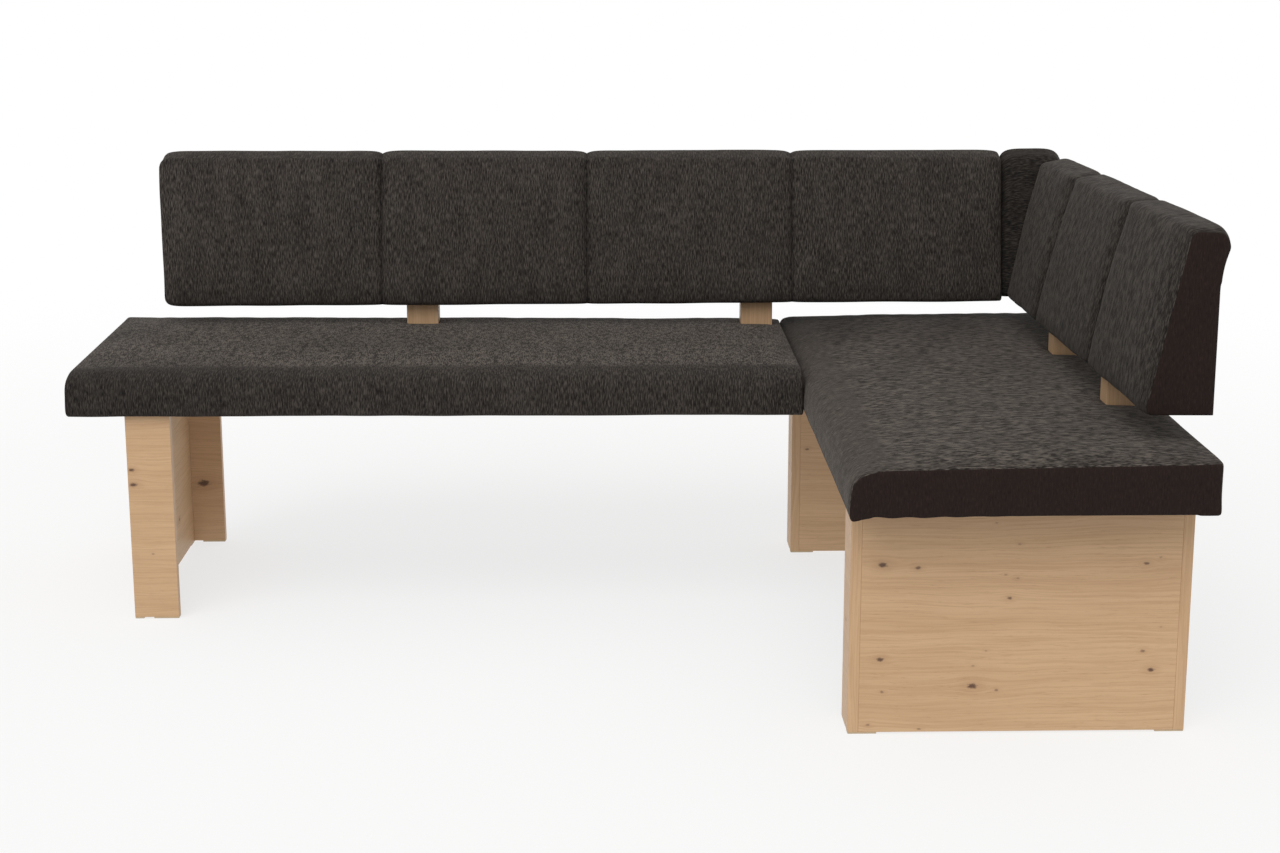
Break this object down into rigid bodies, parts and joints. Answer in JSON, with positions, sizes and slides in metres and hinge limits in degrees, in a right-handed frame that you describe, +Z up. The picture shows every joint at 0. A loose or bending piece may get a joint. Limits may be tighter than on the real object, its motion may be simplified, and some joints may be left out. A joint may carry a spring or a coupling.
{
  "type": "corner bench",
  "caption": "L-shaped upholstered corner bench with a long and a short seat, channelled padded backrests on wooden struts, a corner pad and oak-look board pedestals.",
  "frame": {"origin": "on the floor, under the middle of the overall bounding box", "axes": "+X along the long seat from its free end towards the corner, +Y from the long seat's sitting edge towards its backrest, +Z up"},
  "size_m": [1.997, 1.359, 0.847],
  "materials": {
    "oak_decor_board": "light knotty oak decor on chipboard, satin, with edge bands",
    "oak_decor_strut": "light oak decor, satin, upright grain",
    "chipboard": "raw chipboard",
    "foam": "open-cell upholstery foam",
    "cover_fabric": "streaked anthracite-brown woven chenille",
    "dark_lining": "plain dark brown lining cloth",
    "glide_plastic": "beige moulded plastic",
    "beech_dowel": "plain beech",
    "zinc_steel": "zinc-plated steel"
  },
  "bodies": {
    "root": {"backrest_joining_plates": "zinc_steel", "backrest_plate_screws": "zinc_steel", "bracket_screws": "zinc_steel", "corner_backrest_back_lining": "dark_lining", "corner_backrest_board": "chipboard", "corner_backrest_cover": "cover_fabric", "corner_backrest_foam": "foam", "corner_backrest_left_end_panel": "dark_lining", "corner_backrest_right_end_panel": "dark_lining", "corner_pedestal_left_plank": "oak_decor_board", "corner_pedestal_right_plank": "oak_decor_board", "corner_pedestal_web": "oak_decor_board", "end_pedestal_left_plank": "oak_decor_board", "end_pedestal_right_plank": "oak_decor_board", "end_pedestal_web": "oak_decor_board", "left_pedestal_front_plank": "oak_decor_board", "left_pedestal_rear_plank": "oak_decor_board", "left_pedestal_web": "oak_decor_board", "long_backrest_back_lining": "dark_lining", "long_backrest_board": "chipboard", "long_backrest_cover": "cover_fabric", "long_backrest_foam": "foam", "long_backrest_left_end_panel": "dark_lining", "long_backrest_right_end_panel": "dark_lining", "long_left_strut": "oak_decor_strut", "long_right_strut": "oak_decor_strut", "long_seat_board": "chipboard", "long_seat_cover": "cover_fabric", "long_seat_foam": "foam", "long_seat_left_end_panel": "dark_lining", "long_seat_right_end_panel": "dark_lining", "long_seat_underlining": "dark_lining", "pedestal_angle_brackets": "zinc_steel", "pedestal_dowels": "beech_dowel", "pedestal_glides": "glide_plastic", "seat_joining_plates": "zinc_steel", "seat_plate_screws": "zinc_steel", "short_backrest_back_lining": "dark_lining", "short_backrest_board": "chipboard", "short_backrest_cover": "cover_fabric", "short_backrest_foam": "foam", "short_backrest_front_end_panel": "dark_lining", "short_backrest_rear_end_panel": "dark_lining", "short_front_strut": "oak_decor_strut", "short_rear_strut": "oak_decor_strut", "short_seat_board": "chipboard", "short_seat_cover": "cover_fabric", "short_seat_foam": "foam", "short_seat_front_end_panel": "dark_lining", "short_seat_rear_end_panel": "dark_lining", "short_seat_underlining": "dark_lining", "strut_back_bolts": "zinc_steel", "strut_seat_bolts": "zinc_steel"}
  },
  "joints": []
}
